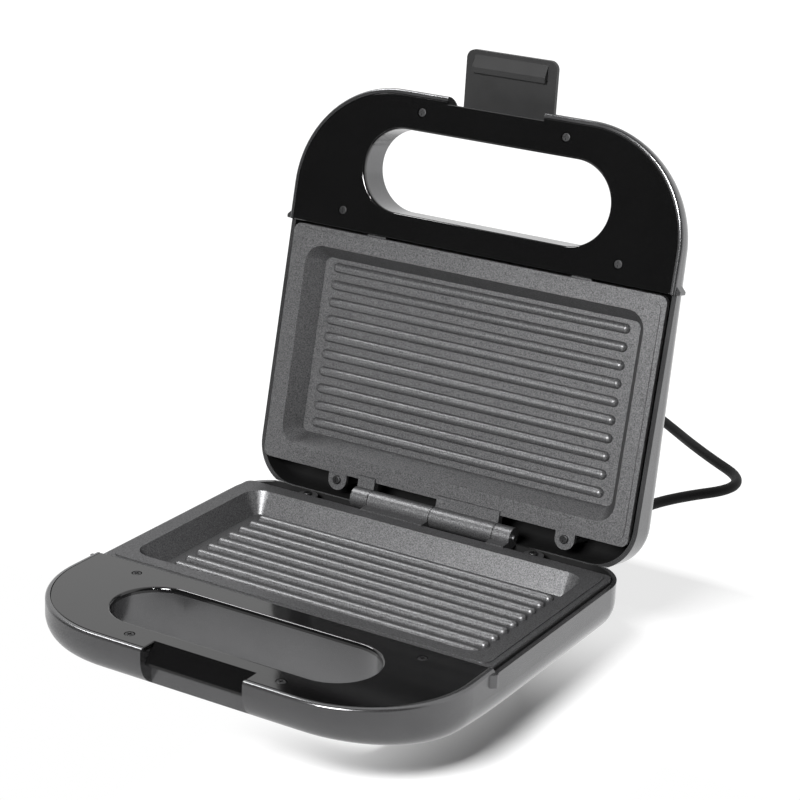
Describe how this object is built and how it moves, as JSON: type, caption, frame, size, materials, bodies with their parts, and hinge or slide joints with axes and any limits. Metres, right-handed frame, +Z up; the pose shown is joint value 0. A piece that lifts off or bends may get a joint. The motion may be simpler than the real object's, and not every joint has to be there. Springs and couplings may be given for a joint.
{
  "type": "panini press",
  "caption": "Compact electric panini press, opened flat-tray style, with ridged grill plates, looped carry handles, a swinging catch and a mains lead.",
  "frame": {"origin": "centre of the underside of the press as it stands open, on the plane of its feet, leaving out the mains lead", "axes": "+Z up, -Y towards the handles (the user's side), X along the hinge"},
  "size_m": [0.2515, 0.55, 0.2706],
  "materials": {
    "housing_grey": "satin moulded dark grey plastic",
    "cover_black": "glossy black moulded plastic",
    "grill_coating": "die-cast aluminium with dark grey non-stick coating",
    "steel": "plain steel pin",
    "latch_dark": "matte dark grey plastic",
    "screw_steel": "dark zinc-plated steel",
    "element_sheath": "heat-stained steel sheath",
    "shield_sheet": "bright aluminium sheet",
    "control_body": "black phenolic",
    "fuse_body": "metal can",
    "terminal_ceramic": "ivory heat-proof plastic",
    "wire_sleeve": "woven glass sleeve",
    "lamp_red": "red lens",
    "lamp_green": "green lens",
    "foot_rubber": "matte black rubber",
    "cord_black": "matte black flexible sheath",
    "tie_black": "matte black band",
    "plug_black": "moulded black plug",
    "blade_brass": "bright brass blades"
  },
  "bodies": {
    "base": {"lower_housing": "housing_grey", "lower_handle_cover": "cover_black", "lower_grill_plate": "grill_coating", "lower_heating_element": "element_sheath", "lower_heat_shield": "shield_sheet", "lower_plate_screws": "screw_steel", "lower_cover_screws": "screw_steel", "lower_terminal_block": "terminal_ceramic", "lower_wiring": "wire_sleeve", "thermostat": "control_body", "thermal_fuse": "fuse_body", "feet": "foot_rubber", "hinge_pin": "steel", "strain_relief": "cord_black", "power_cord": "cord_black", "cord_coil": "cord_black", "cord_tie": "tie_black", "plug_body": "plug_black", "plug_pins": "blade_brass"},
    "lid": {"upper_housing": "housing_grey", "upper_handle_cover": "cover_black", "upper_grill_plate": "grill_coating", "upper_heating_element": "element_sheath", "upper_heat_shield": "shield_sheet", "upper_plate_screws": "screw_steel", "upper_cover_screws": "screw_steel", "upper_terminal_block": "terminal_ceramic", "upper_wiring": "wire_sleeve", "power_lamp": "lamp_red", "ready_lamp": "lamp_green", "latch_pin": "steel"},
    "latch": {"latch": "latch_dark"}
  },
  "joints": [
    {"name": "lid_hinge", "type": "hinge", "parent": "base", "child": "lid", "pos_m": [0, 0.07722, 0.037], "axis": [1, 0, 0], "range_deg": [0, 101.4]},
    {"name": "latch_swing", "type": "hinge", "parent": "lid", "child": "latch", "pos_m": [0, 0.12939, 0.23755], "axis": [1, 0, 0], "range_deg": [0, 80.5]}
  ]
}
